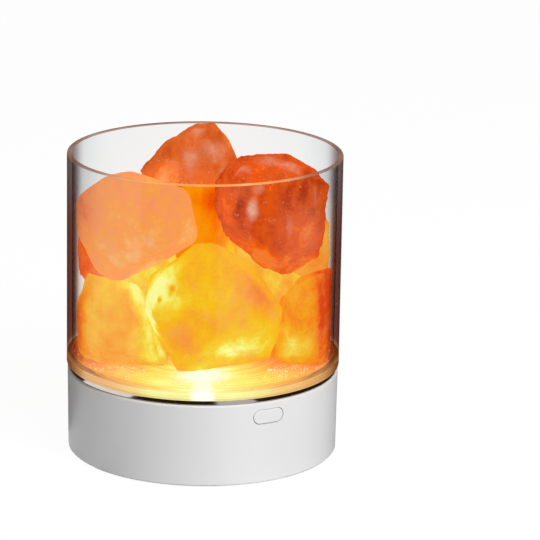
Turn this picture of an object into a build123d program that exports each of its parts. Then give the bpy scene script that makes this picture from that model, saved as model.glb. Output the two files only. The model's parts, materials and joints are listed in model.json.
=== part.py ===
from build123d import *
import math
import os
import random

os.makedirs("parts", exist_ok=True)

# Salt crystal lamp: lumps of rock salt in a clear cup, lit from a round white base.
# Millimetres, +Z up. The origin is on the table under the middle of the base.
# The button faces -Y and the charging socket faces +Y.

# ---- driving dimensions: cup and casing ----
cup_radius = 47.0
cup_wall = 1.8
cup_floor = 3.2
cup_height = 73.9
cup_rim_round = 0.5
cup_foot_bevel = 0.5
cup_corner_bevel = 0.8

feet_height = 0.5  # the rubber feet lift the base this far off the table
housing_height = 28.3
housing_setback = 0.3  # the cup stands out this far past the housing
housing_draft = 0.3  # so that the moulding leaves its tool
housing_wall = 2.2
housing_edge_bevel = 0.5
deck_thickness = 1.8  # the housing's flat top, under the cup
fit_gap = 0.2  # between pieces that are fitted into each other
drive_gap = 0.02  # a screw's shank in its moulded pilot hole

ring_setback = 0.8  # the cup stands out this far past the ring
ring_width = 6.2
ring_height = 1.8
ring_shadow_height = 0.3  # undercut along the ring's lower edge
ring_shadow_depth = 0.6
rib_thickness = 1.6  # rib on the deck that centres the ring
rib_height = 1.3

# ---- driving dimensions: light ----
window_edge_gap = 2.4  # between the window and the bosses around it
window_ledge = 1.5
window_thickness = 1.2
collar_wall = 3.0
collar_height = 1.6
led_size = 5.0
led_height = 1.6
led_lens_radius = 2.0
led_lens_depth = 0.2
led_edge_gap = 5.0  # LED centres to the edge of the light opening
led_count = 6

# ---- driving dimensions: button and board ----
button_width = 11.2
button_height = 4.8
button_centre_below_deck = 5.0  # from the housing's top face
button_proud = 0.15
button_travel = 0.5
button_edge_round = 0.4
flange_thickness = 1.0
flange_overhang = 1.8  # ears beyond each end of the pill
flange_lip = 0.3
stem_size = 3.0

switch_width = 6.0
switch_depth = 3.0
switch_height = 3.9
switch_sheet = 0.2
plunger_width = 2.6
plunger_thickness = 1.4
plunger_above_board = 2.0
plunger_proud = 1.6
plunger_inside = 1.5

board_thickness = 1.6
board_edge_gap = 4.9  # between the board and the housing's wall
board_tab_width = 13.0
board_tab_gap = 1.2

# ---- driving dimensions: screws and posts ----
screw_radius = 0.85
screw_head_radius = 1.9
screw_head_height = 1.4
screw_hole_gap = 0.35  # free hole around a screw's shank
boss_radius = 2.6
boss_depth = 5.0  # how far a screw bites
board_screw_inset = 5.6  # from the board's edge
board_screw_angles = (90, 210, 330)
cup_screw_inset = 4.2  # from the rib that centres the ring
cup_screw_angles = (30, 150, 270)
cup_screw_bite = 1.5  # into the cup's floor, past its boss
post_radius = 2.8
post_inset = 2.7  # post axis to the inside of the wall
post_angles = (45, 135, 225, 315)
post_web = 1.2

# ---- driving dimensions: charging socket ----
socket_width = 7.6
socket_height = 2.7
socket_depth = 5.2
socket_sheet = 0.3
socket_setback = 0.5  # socket mouth to the inside of the wall
tongue_width = 3.6
tongue_thickness = 0.6
plug_window_width = 11.4
plug_window_height = 7.2
plug_window_round = 1.5

# ---- driving dimensions: bottom and battery ----
cover_thickness = 2.2
cover_recess = 0.5  # cover to the housing's lower edge
counterbore_depth = 1.2
counterbore_gap = 0.5
foot_radius = 4.0
foot_inset = 9.0  # foot centres to the cover's edge
foot_angles = (0, 90, 180, 270)
foot_pocket_depth = 0.8
battery_length = 50.0
battery_width = 34.0
battery_thickness = 10.0
battery_round = 1.5
tape_thickness = 0.4
tape_margin = 8.0
fence_wall = 1.2
fence_height = 4.0
fence_gap = 0.5
lead_radius = 0.45
lead_spacing = 2.5
connector_width = 7.5
connector_depth = 4.5
connector_height = 5.5
connector_inset = 4.3  # from the board's edge

# ---- driving dimensions: small parts under the board ----
layout_pitch = 4.0  # the parts stand on a grid of this pitch
control_chip_size = (5.0, 4.0, 1.6)
charge_chip_size = (4.0, 3.0, 1.4)
capacitor_size = (2.0, 1.25, 1.0)
resistor_size = (1.6, 0.8, 0.5)
coil_plate = 6.0
coil_plate_thickness = 0.8
coil_radius = 2.6
coil_height = 3.2

# ---- driving dimensions: salt lumps ----
pile_cup_radius = 45.2  # inner radius of the cup that the lump sizes below are given for
lump_gap = 0.3  # between neighbouring lumps
pile_wall_gap = 0.4
pile_floor_gap = 0.1
pile_turn = -28.5  # the lumps are laid out as seen from this side of the button
pile_view_pitch = 15.5  # and from this far above level
roundness = 1.55  # 1 would be a block with sharp corners, 2 an ellipsoid
facet_rounds = ((26, 0.86, 1.0), (34, 1.0, 1.06))  # how many, and their reach in shares of the size
facet_disorder = 20  # degrees either way
lean_range = (6, 24)  # of the large broken faces, in degrees
parting_turns = range(-40, 41, 10)  # tried for the face where two lumps part, in degrees

# ---- levels and radii that follow ----
housing_top_radius = cup_radius - housing_setback
housing_foot_radius = housing_top_radius - housing_draft
ring_radius = cup_radius - ring_setback
ring_inner_radius = ring_radius - ring_width
rib_radius = ring_inner_radius - fit_gap
cup_screw_circle = rib_radius - rib_thickness - cup_screw_inset
window_radius = cup_screw_circle - boss_radius - window_edge_gap
light_opening_radius = window_radius - window_ledge
led_circle = light_opening_radius - led_edge_gap
housing_bottom = feet_height
housing_top = housing_bottom + housing_height
deck_underside = housing_top - deck_thickness
cup_bottom = housing_top + ring_height
cup_floor_top = cup_bottom + cup_floor
cup_rim = cup_bottom + cup_height
cup_inner_radius = cup_radius - cup_wall
button_level = housing_top - button_centre_below_deck
board_top = button_level - plunger_above_board
board_bottom = board_top - board_thickness
cover_bottom = housing_bottom + cover_recess
cover_top = cover_bottom + cover_thickness
battery_bottom = cover_top + tape_thickness
pilot_radius = screw_radius + drive_gap
free_hole_radius = screw_radius + screw_hole_gap


def wall_outside(height):
    # outer radius of the tapered housing at a height
    share = (height - housing_bottom) / housing_height
    return housing_foot_radius + (housing_top_radius - housing_foot_radius) * share


def wall_inside(height):
    return wall_outside(height) - housing_wall


board_radius = wall_inside(board_top) - board_edge_gap
board_screw_circle = board_radius - board_screw_inset
post_circle = wall_inside(cover_top) - post_inset
cover_radius = wall_inside(housing_bottom) - 1.5 * fit_gap
foot_circle = cover_radius - foot_inset
switch_front = board_radius + fit_gap
button_face = wall_outside(button_level) + button_proud
flange_outside = wall_inside(button_level) - 1.5 * fit_gap
flange_inside = flange_outside - flange_thickness
socket_front = wall_inside(board_bottom) - socket_setback
socket_level = board_bottom - socket_height / 2


# ---- helpers ----
def revolved(*profile):
    # solid of revolution about Z; the profile is a closed outline of (radius, height) points
    outline = Polyline(*profile, close=True)
    return revolve(Plane.XZ * make_face(outline), Axis.Z)


def column(radius, low, high):
    return Pos(0, 0, low) * Cylinder(radius, high - low, align=(Align.CENTER, Align.CENTER, Align.MIN))


def tube(outer, inner, low, high):
    return column(outer, low, high) - column(inner, low, high)


def block(width, depth, low, high):
    size_align = (Align.CENTER, Align.CENTER, Align.MIN)
    return Pos(0, 0, low) * Box(width, depth, high - low, align=size_align)


def around(shape, radius, angles):
    # copies of one shape, each at a radius and an angle about Z and turned with it
    return [Rot(0, 0, angle) * Pos(radius, 0, 0) * shape for angle in angles]


def rim(shape, height, radius):
    # the circular edges of a turned shape that lie at one height and radius
    edges = shape.edges().filter_by(GeomType.CIRCLE)
    return [e for e in edges if abs(e.center().Z - height) < 0.01 and abs(e.radius - radius) < 0.01]


def write(name, *solids):
    node = solids[0] if len(solids) == 1 else Compound(children=list(solids))
    export_step(node, f"parts/{name}.step")


def pan_head_screw(seat, tip, head_height):
    # shank between two heights; the head lies on the far side of the seat from the tip
    shank = column(screw_radius, min(seat, tip), max(seat, tip))
    outward = -1 if tip > seat else 1
    head = column(screw_head_radius, *sorted((seat, seat + outward * head_height)))
    head = chamfer(rim(head, seat + outward * head_height, screw_head_radius), head_height / 4)
    slot = Box(screw_head_radius * 1.3, screw_radius * 0.6, head_height)
    cross = slot + Rot(0, 0, 90) * slot
    return shank + head - Pos(0, 0, seat + outward * head_height) * cross


# ---- casing ----
def make_base_housing():
    top_inside = wall_inside(deck_underside)
    shelf = housing_top - window_thickness
    collar_bottom = deck_underside - collar_height
    seat_radius = window_radius + fit_gap
    shell = revolved(
        (housing_foot_radius - housing_wall, housing_bottom),
        (housing_foot_radius, housing_bottom),
        (housing_top_radius, housing_top),
        (seat_radius, housing_top),
        (seat_radius, shelf),
        (light_opening_radius, shelf),
        (light_opening_radius, collar_bottom),
        (light_opening_radius + collar_wall, collar_bottom),
        (light_opening_radius + collar_wall, deck_underside),
        (top_inside, deck_underside),
    )
    shell = chamfer(rim(shell, housing_top, housing_top_radius), housing_edge_bevel)
    shell = chamfer(rim(shell, housing_bottom, housing_foot_radius), housing_edge_bevel)
    shell += tube(rib_radius, rib_radius - rib_thickness, housing_top, housing_top + rib_height)

    boss = column(boss_radius, board_top, deck_underside)
    shell += around(boss, board_screw_circle, board_screw_angles)
    post = column(post_radius, cover_top, deck_underside)
    web = block(post_inset, post_web, cover_top, deck_underside)
    post += Pos((post_inset + post_radius) / 2, 0, 0) * web
    shell += around(post, post_circle, post_angles)

    pilot = column(pilot_radius, board_top, board_top + boss_depth)
    shell -= around(pilot, board_screw_circle, board_screw_angles)
    pilot = column(pilot_radius, cover_top, cover_top + boss_depth + drive_gap)
    shell -= around(pilot, post_circle, post_angles)
    hole = column(free_hole_radius, deck_underside, housing_top)
    shell -= around(hole, cup_screw_circle, cup_screw_angles)

    button_hole = SlotOverall(button_width + 2 * fit_gap, button_height + 2 * fit_gap)
    button_way = extrude(Plane.XZ * button_hole, 2 * housing_wall + flange_thickness)
    shell -= Pos(0, -flange_inside, button_level) * button_way
    plug_hole = RectangleRounded(plug_window_width, plug_window_height, plug_window_round)
    shell -= Pos(0, socket_front, socket_level) * extrude(Plane.XZ * plug_hole, -3 * housing_wall)
    return shell


def make_trim_ring():
    shadow_radius = ring_radius - ring_shadow_depth
    ring = revolved(
        (ring_inner_radius, housing_top),
        (shadow_radius, housing_top),
        (shadow_radius, housing_top + ring_shadow_height),
        (ring_radius, housing_top + ring_shadow_height),
        (ring_radius, cup_bottom),
        (ring_inner_radius, cup_bottom),
    )
    return chamfer(rim(ring, housing_top + ring_shadow_height, ring_radius), ring_shadow_height)


def make_cup():
    cup = revolved(
        (0, cup_bottom),
        (cup_radius, cup_bottom),
        (cup_radius, cup_rim),
        (cup_inner_radius, cup_rim),
        (cup_inner_radius, cup_floor_top),
        (0, cup_floor_top),
    )
    cup = fillet(rim(cup, cup_rim, cup_radius) + rim(cup, cup_rim, cup_inner_radius), cup_rim_round)
    cup = chamfer(rim(cup, cup_bottom, cup_radius), cup_foot_bevel)
    cup = chamfer(rim(cup, cup_floor_top, cup_inner_radius), cup_corner_bevel)
    boss = column(boss_radius, housing_top, cup_bottom)
    cup += around(boss, cup_screw_circle, cup_screw_angles)
    pilot = column(pilot_radius, housing_top, cup_bottom + cup_screw_bite + drive_gap)
    cup -= around(pilot, cup_screw_circle, cup_screw_angles)
    return cup


def make_base_cover():
    cover = column(cover_radius, cover_bottom, cover_top)
    well = battery_width + 2 * fence_gap
    room = battery_length + 2 * fence_gap
    fence_top = cover_top + fence_height
    fence = block(room + 2 * fence_wall, well + 2 * fence_wall, cover_top, fence_top)
    fence -= block(room, well, cover_top, fence_top)
    lead_way = block(2 * fence_wall + room, 4 * lead_spacing, cover_top, fence_top)
    fence -= Pos(-room / 2, 0, 0) * lead_way
    fence -= block(room + 3 * fence_wall, well / 2, cover_top, fence_top)
    fence -= block(room / 2, well + 3 * fence_wall, cover_top, fence_top)
    cover += fence
    hole = column(free_hole_radius, cover_bottom, cover_top)
    head_room = column(screw_head_radius + counterbore_gap, cover_bottom, cover_bottom + counterbore_depth)
    cover -= around(hole + head_room, post_circle, post_angles)
    pocket = column(foot_radius + fit_gap / 2, cover_bottom, cover_bottom + foot_pocket_depth)
    return cover - around(pocket, foot_circle, foot_angles)


def make_rubber_feet():
    foot = column(foot_radius, 0, cover_bottom + foot_pocket_depth)
    foot = chamfer(rim(foot, 0, foot_radius), feet_height / 2)
    return around(foot, foot_circle, foot_angles)


# ---- light ----
def make_led():
    body = block(led_size, led_size, board_top, board_top + led_height)
    body = chamfer(body.edges().filter_by(Axis.Z).sort_by(Axis.X)[-1], led_size / 10)
    return body - column(led_lens_radius, board_top + led_height - led_lens_depth, board_top + led_height)


def make_led_board():
    board = column(board_radius, board_bottom, board_top)
    tab_end = wall_inside(board_bottom) - board_tab_gap
    board += Pos(0, tab_end / 2, 0) * block(board_tab_width, tab_end, board_bottom, board_top)
    notch = column(post_radius + 2 * fit_gap, board_bottom, board_top)
    board -= around(notch, post_circle, post_angles)
    hole = column(free_hole_radius, board_bottom, board_top)
    return board - around(hole, board_screw_circle, board_screw_angles)


# ---- button and switch ----
def make_power_button():
    # the pill-shaped cap and its flange follow the curve of the housing's wall
    reach = button_face - flange_inside
    cap = extrude(Plane.XZ * SlotOverall(button_width, button_height), 2 * reach)
    low = button_level - button_height / 2
    high = button_level + button_height / 2
    cap_shell = tube(button_face, flange_inside, low - flange_lip, high + flange_lip)
    cap = (Pos(0, -flange_inside + reach, button_level) * cap) & cap_shell
    face_edges = [e for e in cap.edges() if math.hypot(e.center().X, e.center().Y) > button_face - 0.3]
    cap = fillet(face_edges, button_edge_round)
    flange_shell = tube(flange_outside, flange_inside, low - flange_lip, high + flange_lip)
    flange_room = block(button_width + 2 * flange_overhang, 2 * reach, low - flange_lip, high + flange_lip)
    flange = flange_shell & (Pos(0, -flange_outside, 0) * flange_room)
    stem_end = switch_front + plunger_proud
    stem_length = flange_outside - stem_end
    stem = Box(stem_size, stem_length, stem_size)
    return cap + flange + Pos(0, -stem_end - stem_length / 2, button_level) * stem


def make_switch_body():
    body = block(switch_width, switch_depth, board_top, board_top + switch_height)
    body = Pos(0, -switch_front + switch_depth / 2, 0) * body
    way_depth = plunger_inside + button_travel + fit_gap / 2
    way = Box(plunger_width + fit_gap, way_depth, plunger_thickness + fit_gap)
    return body - Pos(0, -switch_front + way_depth / 2, button_level) * way


def make_switch_plunger():
    length = plunger_proud + plunger_inside
    plunger = Box(plunger_width, length, plunger_thickness)
    return Pos(0, -switch_front - plunger_proud + length / 2, button_level) * plunger


def make_switch_frame():
    # sheet-metal cover folded over the switch and soldered to the board
    top = board_top + switch_height
    frame_width = switch_width + 2 * switch_sheet
    frame_depth = switch_depth - 2 * switch_sheet
    frame = block(frame_width, frame_depth, board_top, top + switch_sheet)
    frame -= block(switch_width, switch_depth, board_top, top)
    return Pos(0, -switch_front + switch_depth / 2, 0) * frame


# ---- charging socket ----
def make_usb_shell():
    lower_corners = Rectangle(socket_width, socket_height).vertices().group_by(Axis.Y)[0]
    outside = chamfer(lower_corners, socket_height / 3)
    inside = offset(outside, -socket_sheet, kind=Kind.INTERSECTION)
    shell = extrude(Plane.XZ * (outside - inside), socket_depth)
    return Pos(0, socket_front, socket_level) * shell


def make_usb_tongue():
    back = socket_front - socket_depth
    wall_depth = socket_depth / 5
    tongue_depth = socket_depth * 0.75
    plate_width = socket_width - 2 * socket_sheet - socket_height * 2 / 3
    plate = Box(plate_width, wall_depth, socket_height - 2 * socket_sheet)
    tongue = Box(tongue_width, tongue_depth, tongue_thickness)
    plate = Pos(0, back + wall_depth / 2, socket_level) * plate
    return plate + Pos(0, back + tongue_depth / 2, socket_level) * tongue


# ---- battery ----
def make_battery():
    pouch = block(battery_length, battery_width, battery_bottom, battery_bottom + battery_thickness)
    return fillet(pouch.edges().filter_by(Axis.X), battery_round)


def make_battery_tape():
    length = battery_length - 2 * tape_margin
    return block(length, battery_width - 2 * tape_margin, cover_top, battery_bottom)


connector_middle = -(board_radius - connector_inset - connector_depth / 2)
connector_bottom = board_bottom - connector_height


def make_battery_connector():
    body = block(connector_depth, connector_width, connector_bottom, board_bottom)
    polarity_slot = Box(connector_depth / 4, connector_width / 4, connector_height / 2)
    body -= Pos(connector_depth / 2, 0, connector_bottom) * polarity_slot
    return Pos(connector_middle, 0, 0) * body


def make_lead(side):
    # out of the battery's end and up into the connector
    offset_y = side * lead_spacing / 2
    level = battery_bottom + battery_thickness / 2
    corners = [
        (-battery_length / 2, offset_y, level),
        (connector_middle, offset_y, level),
        (connector_middle, offset_y, connector_bottom),
    ]
    runs = [(Vector(*a) - Vector(*b)).length for a, b in zip(corners, corners[1:])]
    path = FilletPolyline(*corners, radius=0.45 * min(runs))
    section = Plane(origin=corners[0], z_dir=(-1, 0, 0)) * Circle(lead_radius)
    return sweep(section, path)


# ---- small parts under the board ----
def on_board(shape, column_count, row_count):
    return Pos(column_count * layout_pitch, row_count * layout_pitch, 0) * shape


def make_chip(size, legs_a_side):
    length, width, height = size
    body = block(length, width, board_bottom - height, board_bottom - height / 8)
    leg_pitch = length / (legs_a_side + 1)
    leg = block(leg_pitch / 3, width * 1.5, board_bottom - height / 2, board_bottom)
    leg -= block(length, width * 1.3, board_bottom - height / 2, board_bottom - height / 8)
    legs = leg & block(length, width * 1.5, board_bottom - height / 8, board_bottom)
    pins = [Pos((k - (legs_a_side - 1) / 2) * leg_pitch, 0, 0) * (leg + legs) for k in range(legs_a_side)]
    return body + pins


def make_chip_parts(size, spots):
    length, width, height = size
    part = block(length, width, board_bottom - height, board_bottom)
    return [on_board(part, *spot) for spot in spots]


def make_coil():
    plate = block(coil_plate, coil_plate, board_bottom - coil_plate_thickness, board_bottom)
    core = column(coil_radius, board_bottom - coil_height, board_bottom - coil_plate_thickness)
    return plate + chamfer(rim(core, board_bottom - coil_height, coil_radius), coil_radius / 8)


# ---- salt lumps ----
# name: centre (sideways, away from the viewer, above the cup's floor), half sizes, seed of the small
# facets, and the large broken faces round its outline as (direction in degrees, reach from the centre).
# Each lump keeps its shape, and the ones listed after it break off where they would run into it.
lumps = {
    "crystal_front": ((3.0, -18.0, 20.5), (26.0, 19.0, 27.0), 19,
                      ((-150, 21), (-80, 20.5), (-26, 25), (-10, 24.5), (35, 20), (62, 20.5),
                       (90, 22.5), (126, 21.5), (168, 23))),
    "crystal_top_right": ((23.0, -7.0, 51.5), (23.0, 19.0, 25.0), 119,
                          ((-178, 20), (-163, 18.5), (-131, 17), (-107, 19.5), (-60, 21),
                           (-7, 18.5), (42, 21), (61, 20), (90, 20), (137, 22))),
    "crystal_top_left": ((-24.0, -10.0, 47.0), (25.0, 18.0, 21.0), 52,
                         ((-175, 19.5), (-155, 18.5), (-128, 20), (-90, 19), (-64, 15.5),
                          (13, 21), (72, 17.8), (100, 18.8), (127, 19.5))),
    "crystal_top_back": ((-4.0, 20.0, 61.5), (20.0, 15.0, 15.0), 135,
                         ((-144, 17), (-90, 9.5), (-74, 11), (-11, 16), (27, 15), (50, 15.5),
                          (91, 14.5), (122, 12), (140, 13))),
    "crystal_left": ((-28.5, -8.0, 13.0), (19.0, 22.0, 23.0), 19,
                     ((-176, 15), (-134, 18), (-95, 18), (16, 13), (76, 13.5), (160, 16.5))),
    "crystal_right": ((33.0, -9.0, 15.5), (16.0, 20.0, 23.0), 1,
                      ((-118, 17.5), (-90, 17.5), (-50, 17.5), (0, 11), (106, 13.5), (138, 9.5),
                       (165, 9))),
    "crystal_back_left": ((-18.0, 24.0, 16.0), (20.0, 18.0, 19.0), 11, ()),
    "crystal_back_right": ((17.0, 25.0, 16.0), (20.0, 18.0, 19.0), 12, ()),
    "crystal_middle": ((1.0, 10.0, 42.5), (18.0, 16.0, 16.0), 13, ()),
    "crystal_rear_left": ((-31.0, 16.0, 32.0), (15.0, 15.0, 16.0), 14, ()),
    "crystal_rear_right": ((31.0, 18.0, 33.5), (15.0, 15.0, 16.0), 15, ()),
}
loose_lumps = ("crystal_top_left", "crystal_top_right", "crystal_top_back")
pile_scale = cup_inner_radius / pile_cup_radius
view_rise = math.radians(pile_view_pitch)
sideways = Vector(1, 0, 0)
view_up = Vector(0, math.sin(view_rise), math.cos(view_rise))
to_viewer = Vector(0, -math.cos(view_rise), math.sin(view_rise))


def lump_centre(name):
    x, y, above_floor = lumps[name][0]
    return Vector(x, y, above_floor) * pile_scale + Vector(0, 0, cup_floor_top)


def reach(solid, direction):
    # how far a faceted solid extends along a direction, measured from the origin
    return max(Vector(v.X, v.Y, v.Z).dot(direction) for v in solid.vertices())


def trim(solid, direction, distance):
    # breaks off what lies beyond a plane
    if reach(solid, direction) <= distance + 0.001:
        return solid
    plane = Plane(origin=direction * distance, z_dir=direction)
    return split(solid, bisect_by=plane, keep=Keep.BOTTOM)


def facet_directions(count, chance):
    # evenly spread directions with a little disorder
    golden_turn = 137.508
    for k in range(count):
        rise = 1 - (2 * k + 1) / count
        turn = math.radians(golden_turn * k + chance.uniform(-facet_disorder, facet_disorder))
        across = math.sqrt(1 - rise * rise)
        yield Vector(across * math.cos(turn), across * math.sin(turn), rise)


def make_lump(name):
    _, half, seed, broken_faces = lumps[name]
    centre = lump_centre(name)
    chance = random.Random(seed)
    half = [size * pile_scale for size in half]
    rough = Pos(*centre) * Box(3 * half[0], 3 * half[1], 3 * half[2])
    for count, least, most in facet_rounds:
        for facet in facet_directions(count, chance):
            spread = sum(abs(size * part) ** roundness for size, part in zip(half, facet))
            distance = spread ** (1 / roundness) * chance.uniform(least, most)
            rough = trim(rough, facet, centre.dot(facet) + distance)
    for turn, distance in broken_faces:
        # two faces that meet at the lump's widest line, one leaning to the viewer and one away
        outward = sideways * math.cos(math.radians(turn)) + view_up * math.sin(math.radians(turn))
        for leaning in (to_viewer, to_viewer * -1):
            lean = math.radians(chance.uniform(*lean_range))
            direction = outward * math.cos(lean) + leaning * math.sin(lean)
            widest = distance * pile_scale * math.cos(lean)
            rough = trim(rough, direction, centre.dot(direction) + widest)
    return rough


def fit_in_cup(lump):
    side_count = 24
    corner_radius = cup_inner_radius - pile_wall_gap
    flat_distance = corner_radius * math.cos(math.pi / side_count)
    floor_level = cup_floor_top + pile_floor_gap
    lump = trim(lump, Vector(0, 0, -1), -floor_level)
    for k in range(side_count):
        turn = 2 * math.pi * (k + 0.5) / side_count
        outward = Vector(math.cos(turn), math.sin(turn), 0)
        lump = trim(lump, outward, flat_distance)
        downward = (outward - Vector(0, 0, 1)).normalized()
        corner = (flat_distance - floor_level - cup_corner_bevel) / math.sqrt(2)
        lump = trim(lump, downward, corner)
    return lump


def part_direction(finished, finished_name, name):
    # the direction, away from a finished lump, that leaves most of another one standing
    centre = lump_centre(name)
    apart = centre - lump_centre(finished_name)
    level = Vector(apart.X, apart.Y, 0)
    both_loose = finished_name in loose_lumps and name in loose_lumps
    level_limit = 1e-6  # a direction counts as level within this
    lines = [level] if both_loose else [apart, level]
    choices = [line.normalized().rotate(Axis.Z, turn) for line in lines for turn in parting_turns]
    if not both_loose:
        choices += [face.normal_at(face.center()) for face in finished.faces()]
    # a loose lump must lift straight up, so it never lies under another
    if finished_name in loose_lumps:
        choices = [line for line in choices if line.Z < level_limit]
    elif name in loose_lumps:
        choices = [line for line in choices if line.Z > -level_limit]
    corners = [Vector(v.X, v.Y, v.Z) for v in finished.vertices()]
    return max(choices, key=lambda line: centre.dot(line) - max(c.dot(line) for c in corners))


def make_pile():
    finished = {}
    for name in lumps:
        lump = fit_in_cup(make_lump(name))
        for other_name, other in finished.items():
            direction = part_direction(other, other_name, name)
            lump = trim(lump, direction * -1, -(reach(other, direction) + lump_gap))
        finished[name] = lump
    return {name: Rot(0, 0, pile_turn) * lump for name, lump in finished.items()}


# ---- all nodes ----
write("base_housing", make_base_housing())
write("trim_ring", make_trim_ring())
write("cup", make_cup())
cup_screw = pan_head_screw(deck_underside, cup_bottom + cup_screw_bite, screw_head_height)
write("cup_screws", *around(cup_screw, cup_screw_circle, cup_screw_angles))
write("light_window", column(window_radius, housing_top - window_thickness, housing_top))

write("led_board", make_led_board())
led_angles = [360 / led_count * k for k in range(led_count)]
write("leds", *around(make_led(), led_circle, led_angles))
board_screw = pan_head_screw(board_bottom, board_top + boss_depth - drive_gap, screw_head_height)
write("board_screws", *around(board_screw, board_screw_circle, board_screw_angles))

write("power_button", make_power_button())
write("switch_body", make_switch_body())
write("switch_plunger", make_switch_plunger())
write("switch_frame", make_switch_frame())
write("usb_shell", make_usb_shell())
write("usb_tongue", make_usb_tongue())

write("control_chip", on_board(make_chip(control_chip_size, 4), 3, -3))
write("charge_chip", on_board(make_chip(charge_chip_size, 3), 3, 5))
capacitor_spots = [(1, 6), (-1, 6), (5, 5), (1, -4)]
write("chip_capacitors", *make_chip_parts(capacitor_size, capacitor_spots))
resistor_spots = [(5, -2), (5, -3), (5, -4), (0.5, 4.5), (-0.5, 4.5)]
write("chip_resistors", *make_chip_parts(resistor_size, resistor_spots))
write("coil", on_board(make_coil(), -3, 5))

write("battery_pouch", make_battery())
write("battery_tape", make_battery_tape())
write("battery_connector", make_battery_connector())
write("lead_red", make_lead(1))
write("lead_black", make_lead(-1))

write("base_cover", make_base_cover())
cover_screw = pan_head_screw(cover_bottom + counterbore_depth, cover_top + boss_depth, counterbore_depth)
write("cover_screws", *around(cover_screw, post_circle, post_angles))
write("rubber_feet", *make_rubber_feet())

for crystal_name, crystal in make_pile().items():
    write(crystal_name, crystal)
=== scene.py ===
import json
import math
import random

import bmesh
import bpy
from mathutils import Matrix, Vector
from mathutils.bvhtree import BVHTree

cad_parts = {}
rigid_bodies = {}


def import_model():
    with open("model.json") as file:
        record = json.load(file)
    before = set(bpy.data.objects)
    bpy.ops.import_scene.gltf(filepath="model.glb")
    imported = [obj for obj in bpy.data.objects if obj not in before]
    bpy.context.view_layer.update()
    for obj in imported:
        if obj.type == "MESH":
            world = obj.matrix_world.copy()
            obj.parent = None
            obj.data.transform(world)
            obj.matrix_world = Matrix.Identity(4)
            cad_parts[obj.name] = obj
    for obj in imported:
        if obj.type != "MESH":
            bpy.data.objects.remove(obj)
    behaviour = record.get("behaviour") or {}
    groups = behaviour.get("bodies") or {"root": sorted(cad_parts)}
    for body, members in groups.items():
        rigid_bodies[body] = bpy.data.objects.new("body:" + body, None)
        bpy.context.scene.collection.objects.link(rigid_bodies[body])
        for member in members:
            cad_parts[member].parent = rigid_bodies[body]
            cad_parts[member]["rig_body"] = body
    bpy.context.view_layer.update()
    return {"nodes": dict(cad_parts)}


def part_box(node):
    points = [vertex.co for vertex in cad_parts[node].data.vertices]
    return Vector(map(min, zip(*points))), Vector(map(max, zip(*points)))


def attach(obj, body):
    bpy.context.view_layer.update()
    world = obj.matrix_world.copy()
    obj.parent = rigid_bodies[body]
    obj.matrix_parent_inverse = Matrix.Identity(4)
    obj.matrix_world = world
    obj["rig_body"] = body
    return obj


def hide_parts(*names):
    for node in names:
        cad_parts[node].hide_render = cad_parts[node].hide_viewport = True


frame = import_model()
scene = bpy.context.scene
mm = 0.001
white = (1, 1, 1, 1)
lampFront = -28.5  # degrees round from the button to the side that faces the camera
lumpGap = 0.1 * mm  # between the lumps and the cup's floor
weldDistance = 0.002 * mm
sharpAngle = 35  # degrees; a turned piece keeps the creases that are sharper

# Places that the frame gives, in metres
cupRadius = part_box("cup")[1].x
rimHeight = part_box("cup")[1].z
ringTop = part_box("trim_ring")[1].z
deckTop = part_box("trim_ring")[0].z
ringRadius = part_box("trim_ring")[1].x
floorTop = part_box("crystal_front")[0].z - lumpGap


def outward(turn, length=1.0):
    # a level vector that points away from the axis, turned from +X in degrees
    return Vector((length * math.cos(math.radians(turn)), length * math.sin(math.radians(turn)), 0))


def raised(height):
    return Vector((0, 0, height))


# Short ways to build node trees
def plug(tree, value, socket):
    # a socket is linked, anything else is typed in
    if isinstance(value, bpy.types.NodeSocket):
        tree.links.new(value, socket)
    else:
        socket.default_value = value


def addNode(tree, kind, inputs=None, **settings):
    node = tree.nodes.new(kind)
    for name, value in settings.items():
        setattr(node, name, value)
    for name, value in (inputs or {}).items():
        plug(tree, value, node.inputs[name])
    return node


def calc(tree, operation, first, second=0.0, third=0.0, clamp=False):
    inputs = {0: first, 1: second, 2: third}
    return addNode(tree, "ShaderNodeMath", inputs, operation=operation, use_clamp=clamp).outputs[0]


def vectorCalc(tree, operation, first, second=(0, 0, 0)):
    return addNode(tree, "ShaderNodeVectorMath", {0: first, 1: second}, operation=operation).outputs[0]


def measure(tree, operation, first, second=(0, 0, 0)):
    # a number from vectors: LENGTH, DISTANCE or DOT_PRODUCT
    return addNode(tree, "ShaderNodeVectorMath", {0: first, 1: second}, operation=operation).outputs["Value"]


def scaled(tree, vector, factor):
    return addNode(tree, "ShaderNodeVectorMath", {0: vector, "Scale": factor}, operation="SCALE").outputs[0]


def joinAxes(tree, x, y, z):
    return addNode(tree, "ShaderNodeCombineXYZ", {"X": x, "Y": y, "Z": z}).outputs[0]


def splitAxes(tree, vector):
    return addNode(tree, "ShaderNodeSeparateXYZ", {0: vector}).outputs


def spread(tree, value, low, high, toLow=0.0, toHigh=1.0):
    # maps low..high smoothly onto toLow..toHigh and holds it there outside
    inputs = {"Value": value, "From Min": low, "From Max": high, "To Min": toLow, "To Max": toHigh}
    return addNode(tree, "ShaderNodeMapRange", inputs, interpolation_type="SMOOTHSTEP").outputs["Result"]


def noise(tree, where, scale, detail=3.0, roughness=0.55, distortion=0.0):
    inputs = {"Vector": where, "Scale": scale, "Detail": detail, "Roughness": roughness,
              "Distortion": distortion}
    return addNode(tree, "ShaderNodeTexNoise", inputs).outputs["Fac"]


def cells(tree, where, scale, feature="F1", **inputs):
    return addNode(tree, "ShaderNodeTexVoronoi", {"Vector": where, "Scale": scale, **inputs},
                   feature=feature).outputs


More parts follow.
